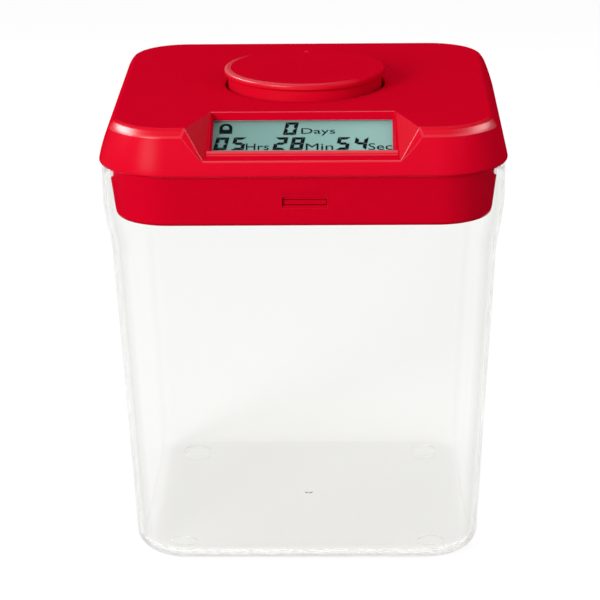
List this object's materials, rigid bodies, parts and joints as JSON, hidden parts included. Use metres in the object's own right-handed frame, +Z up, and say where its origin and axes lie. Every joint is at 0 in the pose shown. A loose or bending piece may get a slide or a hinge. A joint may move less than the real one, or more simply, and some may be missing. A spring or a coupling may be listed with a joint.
{
  "type": "time-lock container",
  "caption": "Square clear container with a coloured timer lid: display, push-and-turn knob, and motor-driven bolts that catch under ribs in the container's wall.",
  "frame": {"origin": "middle of the base, on the surface that the feet stand on", "axes": "+Z up, -Y to the front where the display is, +X to the right seen from the front"},
  "size_m": [0.164, 0.164, 0.1947],
  "materials": {
    "clear_plastic": "clear polished",
    "display_window": "clear polished",
    "lid_plastic": "satin",
    "display_glass": "matte",
    "white_plastic": "satin",
    "black_plastic": "satin",
    "circuit_board": "satin",
    "brass": "machined",
    "battery_jacket": "dark film jacket",
    "ribbon_film": "satin",
    "red_insulation": "satin",
    "black_insulation": "satin",
    "steel": "bright"
  },
  "bodies": {
    "container": {"container_body": "clear_plastic"},
    "lid": {"lid_top_shell": "lid_plastic", "lid_lower_housing": "lid_plastic", "display_lens": "display_window", "lcd_panel": "display_glass", "lcd_retainer": "white_plastic", "retainer_screw_left": "steel", "retainer_screw_right": "steel", "ribbon_cable": "ribbon_film", "main_board": "circuit_board", "processor_chip": "black_plastic", "encoder_housing": "black_plastic", "push_switch": "black_plastic", "lock_gear_axle": "steel", "reduction_gear_axle": "steel", "lock_motor": "steel", "bolt_guide_front": "steel", "bolt_guide_rear": "steel", "battery_left": "battery_jacket", "battery_right": "battery_jacket", "battery_spring_left": "steel", "battery_spring_right": "steel", "battery_terminal_left": "steel", "battery_terminal_right": "steel", "battery_link": "steel", "battery_lead_left": "red_insulation", "battery_lead_right": "black_insulation", "motor_lead_front": "red_insulation", "motor_lead_rear": "black_insulation", "housing_screw_1": "steel", "housing_screw_2": "steel", "housing_screw_3": "steel", "housing_screw_4": "steel", "board_screw_1": "steel", "board_screw_2": "steel", "board_screw_3": "steel", "board_screw_4": "steel", "guide_screw_1": "steel", "guide_screw_2": "steel", "guide_screw_3": "steel", "guide_screw_4": "steel"},
    "encoder_sleeve": {"encoder_rotor": "black_plastic"},
    "knob": {"dial_knob": "lid_plastic", "encoder_shaft": "steel"},
    "lock_gear": {"lock_gear": "white_plastic"},
    "reduction_gear": {"reduction_gear": "white_plastic"},
    "motor_rotor": {"motor_shaft": "steel", "motor_pinion": "brass"},
    "front_bolt": {"front_bolt": "lid_plastic"},
    "rear_bolt": {"rear_bolt": "lid_plastic"},
    "battery_cover": {"battery_cover": "lid_plastic"}
  },
  "joints": [
    {"name": "lid_lift", "type": "slide", "parent": "container", "child": "lid", "axis": [0, 0, 1], "range_m": [0, 0.06]},
    {"name": "knob_turn", "type": "hinge", "parent": "lid", "child": "encoder_sleeve", "pos_m": [0, 0, 0.1777], "axis": [0, 0, 1], "continuous": true},
    {"name": "knob_press", "type": "slide", "parent": "encoder_sleeve", "child": "knob", "axis": [0, 0, -1], "range_m": [0, 0.002], "stiffness_N_per_m": 1200, "springref_m": -0.0006},
    {"name": "lock_turn", "type": "hinge", "parent": "lid", "child": "lock_gear", "pos_m": [0.0009, 0, 0.1552], "axis": [0, 0, -1], "range_deg": [0, 19.34]},
    {"name": "reduction_turn", "type": "hinge", "parent": "lid", "child": "reduction_gear", "pos_m": [0.0209, 0, 0.1598], "axis": [0, 0, -1], "range_deg": [-60, 0]},
    {"name": "motor_turn", "type": "hinge", "parent": "lid", "child": "motor_rotor", "pos_m": [0.0399, 0, 0.1642], "axis": [0, 0, -1], "range_deg": [0, 165]},
    {"name": "front_bolt_slide", "type": "slide", "parent": "lid", "child": "front_bolt", "axis": [0, -1, 0], "range_m": [0, 0.00275]},
    {"name": "rear_bolt_slide", "type": "slide", "parent": "lid", "child": "rear_bolt", "axis": [0, 1, 0], "range_m": [0, 0.00275]},
    {"name": "battery_cover_swing", "type": "hinge", "parent": "lid", "child": "battery_cover", "pos_m": [-0.051, 0.0331, 0.1478], "axis": [1, 0, 0], "range_deg": [0, 80]}
  ],
  "couplings": [
    {"joint": "reduction_turn", "follows": "lock_turn", "ratio": -3},
    {"joint": "motor_turn", "follows": "lock_turn", "ratio": 8.4},
    {"joint": "front_bolt_slide", "follows": "lock_turn", "m_per_rad": 0.008},
    {"joint": "rear_bolt_slide", "follows": "lock_turn", "m_per_rad": 0.008}
  ]
}
